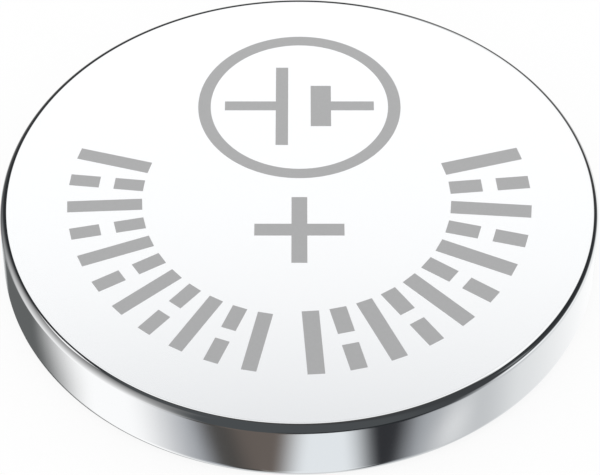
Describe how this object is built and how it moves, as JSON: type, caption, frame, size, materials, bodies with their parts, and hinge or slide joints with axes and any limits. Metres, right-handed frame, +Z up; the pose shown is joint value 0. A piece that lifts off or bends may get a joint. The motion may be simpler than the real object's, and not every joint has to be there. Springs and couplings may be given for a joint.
{
  "type": "lithium coin cell",
  "caption": "Flat round lithium coin cell with a polished metal can, a plain positive face and a stepped negative cap underneath, held in a plastic gasket.",
  "frame": {"origin": "centre of the negative contact face, on the surface that the cell rests on", "axes": "+Z up along the cell's axis, out of the positive face; the picture looks along +Y and down, with +X to the right"},
  "size_m": [0.016, 0.016, 0.002],
  "materials": {
    "can_steel": "polished nickel plate on stainless sheet",
    "gasket_plastic": "natural polypropylene",
    "cap_steel": "satin nickel plate on stainless sheet",
    "lithium_foil": "soft dull metal",
    "separator_felt": "non-woven",
    "ring_steel": "rolled",
    "pressed_oxide": "pressed powder"
  },
  "bodies": {
    "root": {"positive_can": "can_steel", "sealing_gasket": "gasket_plastic", "negative_cap": "cap_steel", "lithium_anode": "lithium_foil", "separator": "separator_felt", "cathode_ring": "ring_steel", "cathode_pellet": "pressed_oxide"}
  },
  "joints": []
}
